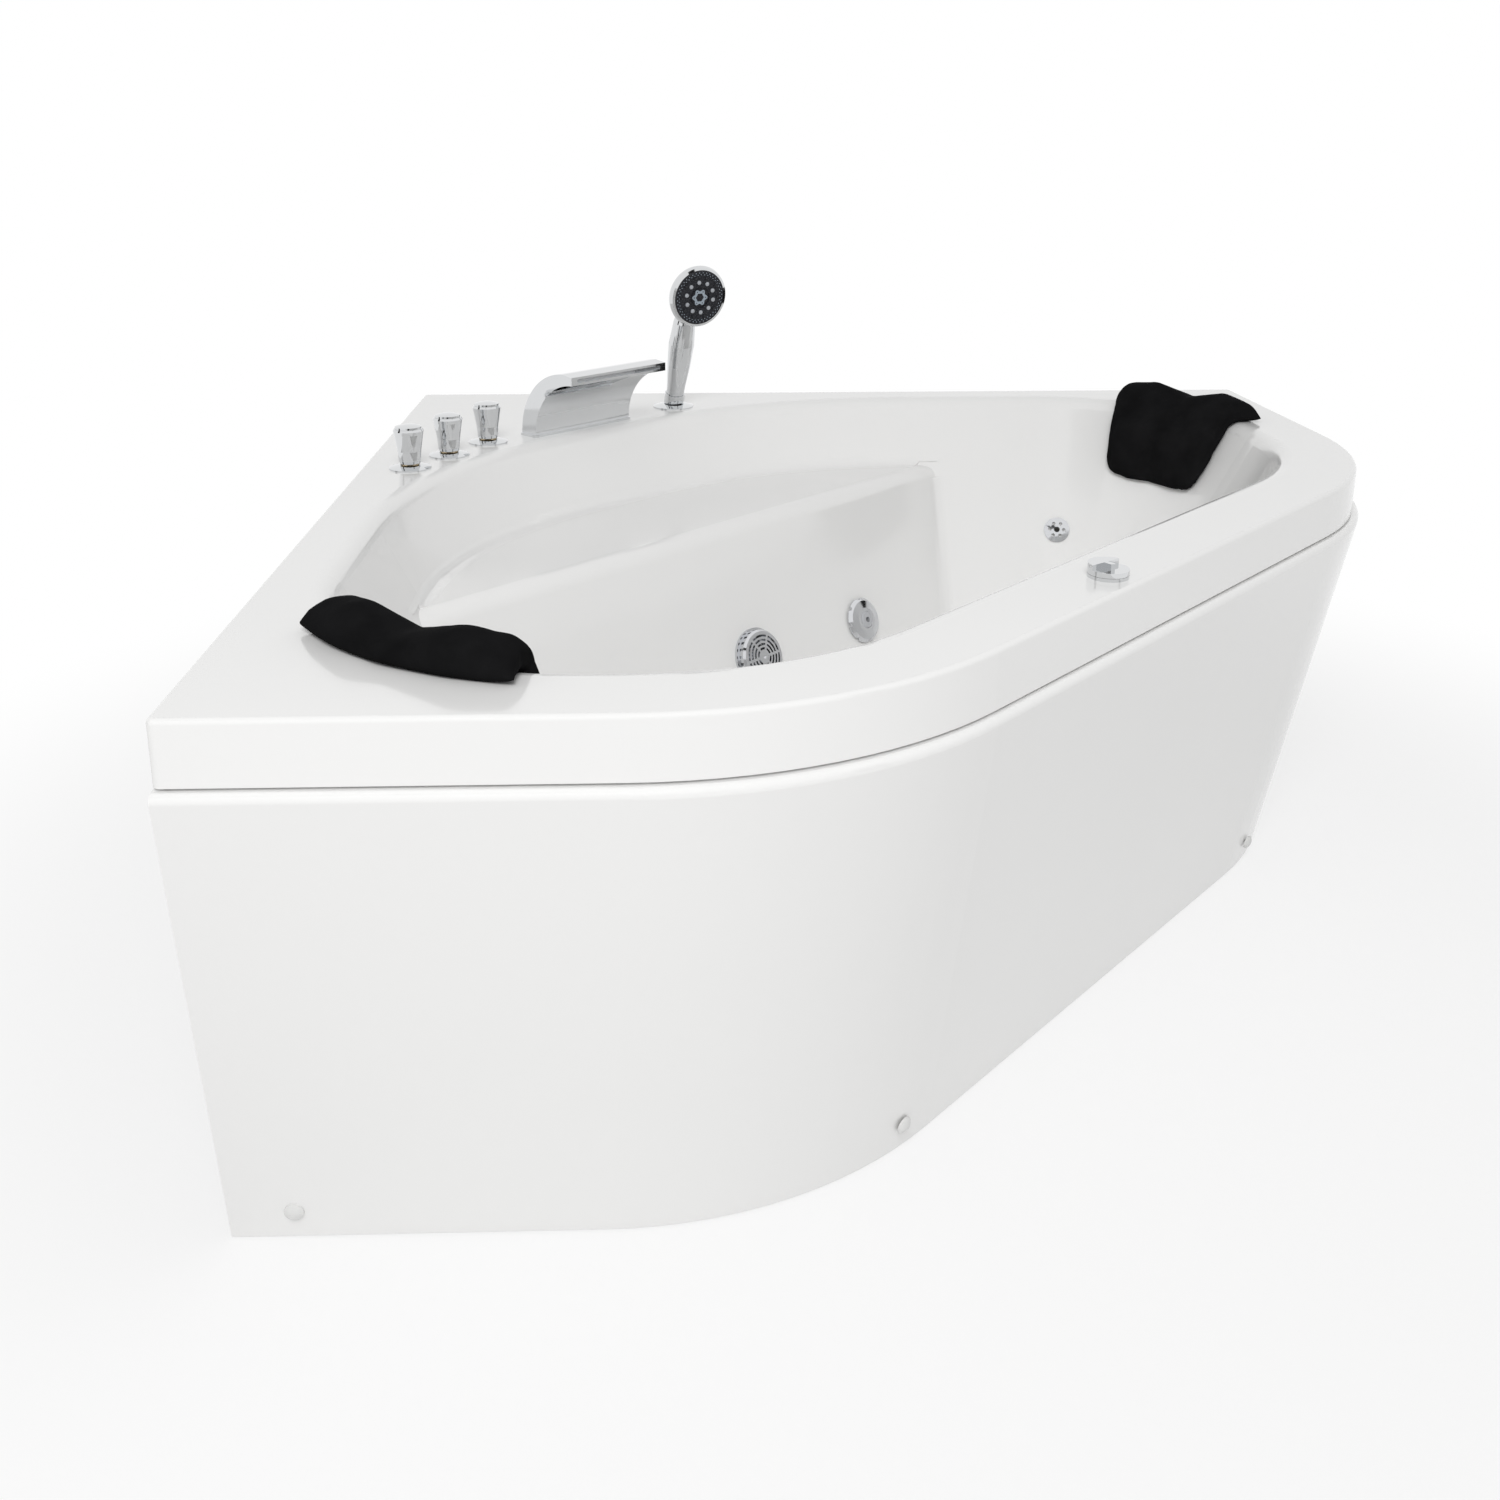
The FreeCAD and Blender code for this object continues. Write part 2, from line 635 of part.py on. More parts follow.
def hand_shower():
    """A hand shower standing in a leaning socket that turns in the deck."""
    base = at(*SHOWER_PLACE, RIM_HEIGHT)
    forward = Vector(sin(SHOWER_TURN), -cos(SHOWER_TURN), 0)
    axis = forward * sin(SHOWER_LEAN) + UP * cos(SHOWER_LEAN)
    flange = domed(SHOWER_FLANGE, 0, 8, 6).cut(rod(GUIDE_RADIUS, -1, 10))
    keep("shower_flange", placed(flange, base))
    collar = placed(rod(17.5, -10, 26), Vector(), axis).common(rod(60, 8 + SEATING, 60))
    stem = rod(GUIDE_RADIUS - RUNNING, -40, 12)
    bore = placed(rod(GRIP_FOOT + RUNNING, 12, 60), Vector(), axis)
    keep("shower_guide", placed(collar.fuse(stem).cut(bore), base))
    keep("shower_guide_nut", placed(nut(GUIDE_RADIUS - RUNNING, -SHELL - SEATING), base))
    grip = turned([(0, 13), (GRIP_FOOT, 13), (GRIP_FOOT, 26 + SEATING), (15.5, 26 + SEATING),
                   (16, 40), (20, 80), (22, 120), (19, 160), (14, 182), (0, 182)])
    flutes = [placed(rod(3, 40, 165, (23.5, 0)), Vector(), UP, 45 * k + 22.5) for k in range(8)]
    grip = placed(grip.cut(Part.makeCompound(flutes)), base, axis)
    look = forward * cos(8) - UP * sin(8)
    centre = base + forward * 84 + UP * 204
    dome = turned([(0, -24), (18, -21), (34, -14), (45, -5), (51, 3), (52, 8), (50, 14), (46, 15),
                   (46, 9), (0, 9)])
    neck_base = base + axis * 150
    neck_way = centre - look * 10 - neck_base
    neck = placed(Part.makeCone(15, 17, neck_way.Length * 0.9), neck_base, neck_way)
    handset = grip.fuse([neck, placed(dome, centre, look)])
    handset = handset.cut(placed(rod(46, 9, 40), centre, look)).removeSplitter()
    keep("shower_handset", handset)
    plate = turned([(0, 9 + SEATING), (46 - RUNNING, 9 + SEATING), (46 - RUNNING, 14), (44, 16), (0, 16)])
    keep("spray_face", placed(plate.cut(ring(18, 15, 14.5, 20)), centre, look))
    stud = Part.makeCone(3, 2.2, 2.5)
    studs = [placed(stud, Vector(34 * cos(36 * k), 34 * sin(36 * k), 16)) for k in range(10)]
    keep("spray_nozzles", *[placed(stud, centre, look) for stud in studs])


# Waste and overflow

def waste():
    floor = RIM_HEIGHT - BASIN_DEPTH
    point = diag(DRAIN_LINE, 0, floor)
    flange = turned([(DRAIN_BORE, -26), (DRAIN_NECK, -26), (DRAIN_NECK, 0), (DRAIN_RADIUS, 0),
                     (DRAIN_RADIUS - 2, 3), (DRAIN_BORE, 1)])
    spokes = [placed(Part.makeBox(17, 3, 6, Vector(6, -1.5, -26)), Vector(), UP, 120 * k) for k in range(3)]
    flange = flange.fuse(spokes + [ring(8, PLUG_STEM + RUNNING, -26, -20)]).removeSplitter()
    keep("drain_flange", placed(flange, point))
    plug = domed(DRAIN_BORE - HOLE_ROOM, -1, 4, 3).fuse(rod(PLUG_STEM, -34, 0))
    keep("drain_plug", placed(plug, point))
    tail = 75.0
    shoe = ring(33, DRAIN_NECK, -SHELL - 20, -SHELL).fuse(ring(33, 20, -50, -SHELL - 20))
    cross = placed(rod(20, 0, 48), Vector(0, 0, -72), across(1, 0))
    shoe = shoe.fuse([rod(22, -tail - 22, -50), rod(20, -tail - 72, -tail - 22), cross])
    shoe = shoe.cut(rod(17, -tail - 73, -40)).removeSplitter()
    keep("waste_shoe", placed(shoe, point))
    wall, way = near_wall_place(OVERFLOW_Z)
    bore = OVERFLOW_STEM + RUNNING
    body = rod(OVERFLOW_NECK, -38, 0).cut(rod(bore, -30, 1)).fuse(ring(OVERFLOW_NECK + 4, bore, 0, 2))
    keep("overflow_body", placed(body, wall, way))
    dial = turned([(0, 2 + SEATING), (OVERFLOW_RADIUS, 2 + SEATING), (OVERFLOW_RADIUS, 7),
                   (OVERFLOW_RADIUS - 6, 13), (0, 14)])
    grips = [placed(rod(5, 0, 20, (OVERFLOW_RADIUS + 2, 0)), Vector(), UP, 60 * k) for k in range(6)]
    dial = dial.cut(Part.makeCompound(grips)).fuse(rod(OVERFLOW_STEM, -20, 3)).removeSplitter()
    keep("overflow_dial", placed(dial, wall, way))
    start = wall - way * 38
    knee = start - way * 34
    low = floor - 72
    line = (knee.x + HALF + HALF - knee.y) / ROOT2
    keep("overflow_pipe", pipe([start, knee, diag(line, 0, low), diag(DRAIN_LINE + 48, 0, low)], 16, 30))


# Skirt

def skirt_offset(z):
    """Inset of the skirt's outer face from the lip at a height."""
    return -SKIRT_PROUD + (SKIRT_TOP - z) * tan(SKIRT_LEAN)


def front_corners(inset):
    """The front outline at an inset, carried on past both walls."""
    past = 2 * HALF
    near = SIDE - inset
    step = ROOT2 * (DIAGONAL_LINE - inset) - near
    return [(-past, -past), (near, -past), (near, step), (step, near), (-past, near)]


def skirt_solid(skin):
    """The room behind the skirt's outer face, or behind its inner face with a skin."""
    extra = skin / cos(SKIRT_LEAN)
    solid = tapered(lambda d: front_corners(skirt_offset(RIM_HEIGHT - d) + extra), lambda d: [0] * 5,
                    RIM_HEIGHT - SKIRT_TOP, RIM_HEIGHT - SKIRT_BOTTOM)
    corners = [at(*front_corners(skirt_offset(SKIRT_BOTTOM) + extra)[k], SKIRT_BOTTOM) for k in (2, 3)]
    edges = []
    for edge in solid.Edges:
        ends = [vertex.Point for vertex in edge.Vertexes]
        if abs(ends[0].z - ends[1].z) > LIP_DEPTH:
            edges += [edge for corner in corners if min((p - corner).Length for p in ends) < 0.01]
    return solid.makeFillet(SKIRT_BEND - skin, edges)


def front_prism(inset, low, high):
    """All the room behind the lip's front line at an inset."""
    bend = FRONT_BEND - inset
    return prism(front_corners(inset), [0, 0, bend, bend, 0], low, high - low)


def skirt():
    """A leaning panel with a rolled shoulder, turned in behind the tub's lip as an upright tongue."""
    room = Part.makeBox(2 * HALF, 2 * HALF, RIM_HEIGHT, Vector(-HALF, -HALF, 0))
    outer = skirt_solid(0)
    inner = skirt_solid(SKIRT_THICK)
    rim = [edge for edge in level_edges(outer, SKIRT_TOP) if plan_place(edge)[2] > SIDE / 2]
    outer = outer.makeFillet(SKIRT_SHOULDER, rim)
    ledge = SKIRT_TOP - SKIRT_THICK
    hollow = inner.common(Part.makeBox(4 * SIDE, 4 * SIDE, ledge, Vector(-2 * SIDE, -2 * SIDE, 0)))
    behind = SHELL + HOLE_ROOM
    panel = outer.cut(hollow).cut(front_prism(behind + SKIRT_THICK, ledge - 1, SKIRT_TOP + 1))
    tongue = front_prism(behind, ledge, SKIRT_TOP + TONGUE_HEIGHT)
    tongue = tongue.cut(front_prism(behind + SKIRT_THICK, ledge - 1, RIM_HEIGHT))
    end = SHELL + DECK_CORNER
    clear = Part.makeBox(3 * SIDE, 3 * SIDE, RIM_HEIGHT, Vector(end - HALF, HALF - end - 3 * SIDE, 0))
    panel = panel.fuse(tongue.common(clear)).common(room)
    return panel.removeSplitter(), inner


# Frame, feet and fixings

RAIL_TOP = RAIL_HEIGHT + TUBE
FLOOR_UNDER = RIM_HEIGHT - BASIN_DEPTH - SHELL
BOARD_UNDER = FLOOR_UNDER - BOARD


def rail_corners(step):
    """Plan corners of the base ring, its front bends cut off: step 0 outside, 1 a tube's width inside."""
    wall = WALL_GAP + step * TUBE
    near = SIDE - RAIL_INSET - step * TUBE
    cut = ROOT2 * (DIAGONAL_LINE - RAIL_INSET - step * TUBE) - near
    half_bend = 22.5
    chamfer = RAIL_CHAMFER - step * TUBE * (1 / cos(half_bend) - 1) / sin(half_bend)
    right = [at(near, cut - chamfer), at(near - chamfer / ROOT2, cut + chamfer / ROOT2)]
    left = [at(cut + chamfer / ROOT2, near - chamfer / ROOT2), at(cut - chamfer, near)]
    return [at(wall, wall), at(near, wall)] + right + left + [at(wall, near)]


def leg(place, low, high):
    """An upright tube closed at its foot by a drilled plate for the levelling rod."""
    room = TUBE - 2 * TUBE_WALL
    plate = Part.makeBox(room, room, 4, Vector(-room / 2, -room / 2, low)).cut(rod(ROD_RADIUS, 0, high))
    return post(place, low, high, 45).fuse(placed(plate, place, UP, 45)).removeSplitter()


def leg_places():
    return [diag(s, t) for s in BEARERS for t in (-LEG_REACH, LEG_REACH)]


def diagonal_tube(start, end, low):
    """A square tube laid flat between two plan points."""
    way = (end - start).normalize()
    side = Vector(-way.y, way.x, 0) * (TUBE / 2)
    return quad_tube([start + side, end + side, end - side, start - side], low)


def base_ring():
    """The mitred rails of the base, and the places of the feet under them."""
    outer, inner = rail_corners(0), rail_corners(1)
    count = len(outer)
    rails = []
    for index in range(count):
        following = (index + 1) % count
        corners = [outer[index], outer[following], inner[following], inner[index]]
        rails.append(quad_tube(corners, RAIL_HEIGHT))
    near_foot = PAD_RADIUS + TUBE
    far = SIDE - RAIL_INSET - near_foot
    middle = WALL_GAP + TUBE / 2
    feet = [at(middle, near_foot), at(far, middle), at(middle, far)]
    feet += [(outer[k] + outer[k + 1] + inner[k] + inner[k + 1]) * 0.25 for k in (2, 4)]
    return rails, feet


def wall_posts():
    """Posts on the wall rails that carry the deck's wall sides."""
    centre = WALL_GAP + TUBE / 2
    far = SIDE - RAIL_INSET - 3 * PAD_RADIUS - TUBE
    middle = SIDE * 0.6
    places = [(centre, centre), (far, centre), (middle, centre), (centre, far), (centre, middle)]
    return [post(at(u, v), RAIL_TOP, RIM_HEIGHT - SHELL) for u, v in places]


def support():
    rails, ring_feet = base_ring()
    feet = ring_feet + leg_places()
    drill = rod(ROD_RADIUS + HOLE_ROOM, 0, RAIL_HEIGHT + 2 * TUBE_WALL)
    drills = [placed(drill, foot) for foot in ring_feet]
    keep("base_rails", *[rail.cut(Part.makeCompound(drills)) for rail in rails])
    keep("wall_posts", *wall_posts())
    bearer_low = BOARD_UNDER - TUBE
    legs = [leg(place, RAIL_HEIGHT, bearer_low) for place in leg_places()]
    bearers = [diagonal_tube(diag(s, -LEG_REACH - 60), diag(s, LEG_REACH + 60), bearer_low) for s in BEARERS]
    keep("floor_bearers", *bearers)
    rail = DIAGONAL_LINE - RAIL_INSET - TUBE
    half = TUBE / 2
    for t in (-LEG_REACH, LEG_REACH):
        for start, end in ((BEARERS[0] + half, BEARERS[1] - half), (BEARERS[1] + half, rail)):
            legs.append(diagonal_tube(diag(start, t), diag(end, t), RAIL_HEIGHT))
    keep("leg_frame", *legs)
    back, front = BEARERS[0] - 40, BEARERS[1] + 30
    corner = BEARERS[0] + 60
    board = [diag(back, -BOARD_REACH, BOARD_UNDER), diag(back, BOARD_REACH, BOARD_UNDER),
             diag(corner, BOARD_REACH, BOARD_UNDER), diag(front, LEG_REACH + 20, BOARD_UNDER),
             diag(front, -LEG_REACH - 20, BOARD_UNDER), diag(corner, -BOARD_REACH, BOARD_UNDER)]
    plate = Part.Face(Part.makePolygon(board + board[:1])).extrude(UP * BOARD)
    keep("floor_board", plate.cut(placed(rod(38, 0, RIM_HEIGHT), diag(DRAIN_LINE, 0))))
    pads, rods, nuts = [], [], []
    for foot in feet:
        pad = turned([(0, 0), (PAD_RADIUS, 0), (PAD_RADIUS, 5), (PAD_RADIUS - 12, PAD_HEIGHT),
                      (0, PAD_HEIGHT)])
        pads.append(placed(pad, foot))
        nuts.append(placed(hexagon(11, PAD_HEIGHT, RAIL_HEIGHT).cut(rod(ROD_RADIUS, 0, 40)), foot))
        rods.append(placed(rod(ROD_RADIUS, PAD_HEIGHT, RAIL_TOP - 8), foot))
    keep("foot_pads", *pads)
    keep("foot_nuts", *nuts)
    keep("foot_rods", *rods)


def front_and_fixings():
    panel, inner = skirt()
    height = RAIL_HEIGHT + TUBE / 2 + 2
    inset = skirt_offset(height)
    places = [(at(SCREW_MARGIN, SIDE - inset, height), Vector(0, -1, 0)),
              (at(SIDE - inset, SCREW_MARGIN, height), Vector(1, 0, 0))]
    for t in (-SCREW_SPREAD, SCREW_SPREAD):
        places.append((diag(DIAGONAL_LINE - inset, t, height), across(1, 0)))
    screws, caps, blocks, holes = [], [], [], []
    for point, level in places:
        way = level * cos(SKIRT_LEAN) - UP * sin(SKIRT_LEAN)
        depth = RAIL_INSET - inset
        block = Part.makeBox(60, 40, TUBE, Vector(-depth, -20, -TUBE / 2 - 2))
        block.rotate(Vector(), UP, math.degrees(math.atan2(level.y, level.x)))
        block.translate(point)
        blocks.append((block.common(inner), point, way))
        holes.append(placed(rod(SCREW_RADIUS + HOLE_ROOM, -30, 10), point, way))
        screw = rod(SCREW_RADIUS, -SCREW_LENGTH, 0).fuse(domed(6, 0, 4, 2))
        screws.append(placed(screw, point, way))
        caps.append(placed(domed(10, 0, 6.5, 4).cut(rod(6.3, -1, 4.3)), point, way))
    keep("front_skirt", panel.cut(Part.makeCompound(holes)))
    shaft = rod(SCREW_RADIUS, -SCREW_LENGTH, 10)
    drills = Part.makeCompound([placed(shaft, point, way) for block, point, way in blocks])
    keep("skirt_blocks", *[block.cut(drills) for block, point, way in blocks])
    keep("skirt_screws", *screws)
    keep("screw_caps", *caps)


# Pump and pipes

PUMP_LINE = 470.0
PUMP_BASE = RAIL_TOP + BOARD
PUMP_AXIS = PUMP_BASE + 82.0
MOTOR_RADIUS = 62.0
MOTOR_END = 245.0
ROTOR_RADIUS = 7.0
RISER_RADIUS = 18.0
BRANCH_RADIUS = 8.0
CROSS_REACH = SIDE / ROOT2 - 590
STUB = 35.0
HOSE_HOLE = 20.0
PUMP_PLACE = diag(PUMP_LINE, -70, PUMP_AXIS)
PUMP_OUTLET = diag(PUMP_LINE - 40, -39, PUMP_AXIS)
OUTLET_RISE = 104.0


def pump():
    near, far = ROOT2 * (PUMP_LINE - 95), ROOT2 * (PUMP_LINE + 95)
    edge = WALL_GAP + 3
    board = [(near - edge, edge), (far - edge, edge), (edge, far - edge), (edge, near - edge)]
    board = prism(board, [0, 0, 0, 0], RAIL_TOP, BOARD)
    hose_holes = [placed(rod(HOSE_HOLE, 0, RIM_HEIGHT), at(*KNOB_PLACES[name])) for name in ("hot", "cold")]
    keep("pump_board", board.cut(Part.makeCompound(hose_holes)))
    way = across(0, 1)
    volute = rod(70, 0, 62).cut(rod(52, 8, 54)).cut(rod(10, 50, 70)).cut(rod(18, -1, 10))
    volute = placed(volute.fuse(ring(24, 18, -45, 0)), PUMP_PLACE, way)
    outlet = Part.makeCylinder(24, OUTLET_RISE, PUMP_OUTLET)
    outlet = outlet.cut(Part.makeCylinder(53, 64, PUMP_PLACE, way))
    keep("pump_volute", volute.fuse(outlet).removeSplitter())
    vanes = [placed(Part.makeBox(34, 4, 24, Vector(10, -2, 16)), Vector(), UP, 60 * k) for k in range(6)]
    rotor = rod(46, 12, 16).fuse([rod(ROTOR_RADIUS, 9, 150)] + vanes)
    keep("pump_rotor", placed(rotor.removeSplitter(), PUMP_PLACE, way))
    motor = rod(MOTOR_RADIUS, 62, MOTOR_END).cut(rod(48, 70, MOTOR_END - 10))
    motor = motor.cut(rod(ROTOR_RADIUS + RUNNING, 61, 160))
    fins = [placed(Part.makeBox(6, 4, 150, Vector(61, -2, 75)), Vector(), UP, 24 * k) for k in range(15)]
    motor = placed(motor.fuse(fins).removeSplitter(), PUMP_PLACE, way)
    keep("pump_motor", motor)
    cover = turned([(0, MOTOR_END), (MOTOR_RADIUS - 2, MOTOR_END), (MOTOR_RADIUS - 2, MOTOR_END + 25),
                    (MOTOR_RADIUS - 8, MOTOR_END + 35), (0, MOTOR_END + 35)])
    cover = placed(cover, PUMP_PLACE, way)
    foot = Part.makeBox(110, 150, 12, Vector(-55, 0, 0))
    saddles = [Part.makeBox(80, 40, 40, Vector(-40, y, 10)) for y in (5, 55)]
    foot = placed(foot.fuse(saddles), diag(PUMP_LINE, 10, PUMP_BASE), UP, -45)
    room = Part.makeCylinder(MOTOR_RADIUS, 300, PUMP_PLACE, way)
    keep("pump_foot", foot.cut(room).cut(motor).removeSplitter())
    box = Part.makeBox(46, 70, 34, Vector(-23, 0, 0))
    box = placed(box, diag(PUMP_LINE, 30, PUMP_AXIS + 58), UP, -45)
    keep("motor_covers", cover, box.cut(room).cut(motor).removeSplitter())


def suction_line(start):
    mouth = PUMP_PLACE - across(0, 45)
    low = Vector(start.x, start.y, PUMP_AXIS)
    turn = diag(620, -185, PUMP_AXIS)
    keep("suction_pipe", pipe([start, low, turn, mouth - across(0, 2 * STUB), mouth], 21, 32))


def water_pipes():
    """Glued pipework from the pump to every jet: one riser, one cross pipe and two branches at each end."""
    cross_line, way = bench_place(0, JET_Z)
    rise = across(-sin(BENCH_LEAN), 0, cos(BENCH_LEAN))
    middle = cross_line + way * JET_BRANCH + rise * (JET_RISER + 11)
    ends = [middle + across(0, CROSS_REACH * side) for side in (-1, 1)]
    runs = [pipe(ends, 13, 20)]
    riser = Vector(PUMP_OUTLET.x, PUMP_OUTLET.y, middle.z)
    foot = PUMP_OUTLET + UP * OUTLET_RISE
    runs.append(pipe([foot, riser, middle + across(0, -39)], RISER_RADIUS, 40))
    for side in (-1, 1):
        first, first_way = end_place(side, -BACK_JET_ANGLE, BACK_JET_Z)
        second, second_way = end_place(side, BACK_JET_ANGLE, BACK_JET_Z)
        end = middle + across(0, CROSS_REACH * side)
        near = first - first_way * (BACK_JET_DEPTH + STUB)
        corner = end + across(-20, 80 * side)
        runs.append(pipe([end, corner, near, first - first_way * BACK_JET_DEPTH], BRANCH_RADIUS, 16))
        far = second - second_way * (BACK_JET_DEPTH + STUB)
        outside = (near + far) * 0.5 + across(0, 50 * side)
        runs.append(pipe([near, outside, far, second - second_way * BACK_JET_DEPTH], BRANCH_RADIUS, 16))
    return runs[0].fuse(runs[1:]).removeSplitter()


def mixer_pipes(valve_bodies, shanks):
    """Short pipes under the deck from valve to valve and on to the spout."""
    height = RIM_HEIGHT - 50
    places = [at(*place, height) for place in KNOB_PLACES.values()]
    places += [Vector(shank.CenterOfMass.x, shank.CenterOfMass.y, height) for shank in shanks]
    run = [pipe([places[k], places[k + 1]], 7, 10) for k in range(len(places) - 1)]
    blocked = Part.makeCompound(valve_bodies + shanks)
    return [piece for piece in run[0].fuse(run[1:]).cut(blocked).Solids]


# Pillows

def pillow_section(side, angle, fullness, crest, drop):
    """One slice of a pillow: it lies on the deck, turns over the rim and hangs down the backrest."""
    centre_u = SIDE - FRONT_LEDGE - END_BEND
    centre_v = SIDE_LEDGE + END_BEND
    s, t = (centre_u + centre_v) / ROOT2, (centre_u - centre_v) / ROOT2
    gap = SEATING + 0.2
    roll = RIM_ROLL + gap
    steps = 3
    step = (90 - WALL_LEAN) / steps
    back = [(END_BEND + 34, RIM_HEIGHT + gap), (END_BEND, RIM_HEIGHT + gap)]
    for k in range(steps):
        turn = step * (k + 0.5)
        reach = roll / cos(step / 2)
        back.append((END_BEND - reach * sin(turn), RIM_HEIGHT - RIM_ROLL + reach * cos(turn)))
    back.append((END_BEND - draw_in(drop) - gap / cos(WALL_LEAN), RIM_HEIGHT - drop))
    front = []
    for depth, thick in ((drop - 8, 20), (drop - 40, 38), (40, 46)):
        radius = END_BEND - draw_in(depth) - thick * fullness * cos(WALL_LEAN) - gap
        front.append((radius, RIM_HEIGHT - depth + thick * fullness * sin(WALL_LEAN)))
    for radius, height in ((-34, 24), (-18, 38), (8, 41), (30, 30), (39, 12)):
        front.append((END_BEND + radius, RIM_HEIGHT + gap + height * fullness * crest))
    corners = []
    for radius, z in back + front:
        turn = angle + PILLOW_ANGLE
        corners.append(diag(s + radius * sin(turn), side * (t + radius * cos(turn)), z))
    return Part.makePolygon(corners + corners[:1])


def pillows():
    half = ((-1.0, 0.45, 0.9, 28), (-0.87, 0.85, 1.0, 7), (-0.5, 1.0, 1.0, 0), (0.0, 0.92, 0.72, 0))
    slices = half + tuple((-turn, fullness, crest, short) for turn, fullness, crest, short in half[-2::-1])
    for name, side in (("left", -1), ("right", 1)):
        wires = []
        for turn, fullness, crest, short in slices:
            wires.append(pillow_section(side, turn * PILLOW_SPAN, fullness, crest, PILLOW_DROP - short))
        keep("pillow_" + name, Part.makeLoft(wires, True, True))


def build():
    tub = tub_body()
    cuts = []
    point, way = bench_place(0, GRILLE_Z)
    cuts.append(placed(rod(SUCTION_NECK + HOLE_ROOM, -3 * SHELL, 2 * SHELL), point, way))
    for t in (-JET_SPREAD, JET_SPREAD):
        point, way = bench_place(t, JET_Z)
        cuts.append(placed(rod(JET_NECK + HOLE_ROOM, -3 * SHELL, 2 * SHELL), point, way))
    for point, way in back_jet_places():
        cuts.append(placed(rod(BACK_JET_NECK + HOLE_ROOM, -3 * SHELL, 2 * SHELL), point, way))
    point, way = near_wall_place(OVERFLOW_Z)
    cuts.append(placed(rod(OVERFLOW_NECK + HOLE_ROOM, -3 * SHELL, 2 * SHELL), point, way))
    deck_holes = [(at(u, v), VALVE_RADIUS) for u, v in KNOB_PLACES.values()]
    deck_holes.append((diag(DIAGONAL_LINE - AIR_INSET, AIR_SIDE), AIR_NECK))
    deck_holes.append((at(*SHOWER_PLACE), GUIDE_RADIUS))
    middle = (SPOUT_BACK + SPOUT_FRONT) / 2
    deck_holes += [(diag(middle, t), SHANK_RADIUS) for t in (-SHANK_SPREAD, SHANK_SPREAD)]
    for place, radius in deck_holes:
        cuts.append(placed(rod(radius + HOLE_ROOM, -3 * SHELL, SHELL), place + UP * RIM_HEIGHT))
    cuts.append(placed(rod(DRAIN_NECK + HOLE_ROOM, 0, BASIN_DEPTH), diag(DRAIN_LINE, 0)))
    keep("tub_shell", tub.cut(Part.makeCompound(cuts)))
    suction_end, suction_nut = suction_fitting()
    jet_bodies, wall_nuts = bench_jets()
    keep("wall_nuts", suction_nut, *(wall_nuts + back_jets()))
    pipework = water_pipes()
    keep("water_pipes", pipework)
    keep("jet_bodies", *[body.cut(pipework) for body in jet_bodies])
    valve_bodies, deck_nuts = valves()
    deck_nuts.append(air_control())
    shanks, shank_nuts = spout()
    keep("deck_nuts", *(deck_nuts + shank_nuts))
    keep("mixer_pipes", *mixer_pipes(valve_bodies, shanks))
    hand_shower()
    waste()
    support()
    front_and_fixings()
    pump()
    suction_line(suction_end)
    pillows()


build()
os.makedirs("parts", exist_ok=True)
for name, shape in PARTS.items():
    shape.exportStep("parts/" + name + ".step")
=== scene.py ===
import json
import math

import bpy
from mathutils import Euler, Matrix, Vector


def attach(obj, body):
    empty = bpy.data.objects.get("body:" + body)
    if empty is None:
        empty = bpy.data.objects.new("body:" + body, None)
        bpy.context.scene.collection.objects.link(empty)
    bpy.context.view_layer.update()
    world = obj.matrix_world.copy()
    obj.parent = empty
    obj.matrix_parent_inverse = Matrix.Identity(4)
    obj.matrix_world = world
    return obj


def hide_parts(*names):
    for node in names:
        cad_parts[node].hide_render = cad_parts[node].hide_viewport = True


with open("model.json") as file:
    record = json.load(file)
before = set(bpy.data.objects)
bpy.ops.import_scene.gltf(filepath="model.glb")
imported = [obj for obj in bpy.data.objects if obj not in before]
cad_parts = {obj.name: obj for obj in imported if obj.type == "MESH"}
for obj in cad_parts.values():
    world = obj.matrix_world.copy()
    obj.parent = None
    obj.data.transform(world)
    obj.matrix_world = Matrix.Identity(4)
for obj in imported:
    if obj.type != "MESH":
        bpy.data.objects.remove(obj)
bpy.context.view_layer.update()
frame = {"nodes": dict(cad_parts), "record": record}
NODES = frame["nodes"]


# Materials: every one is built from nodes, with its grain and wear in object space

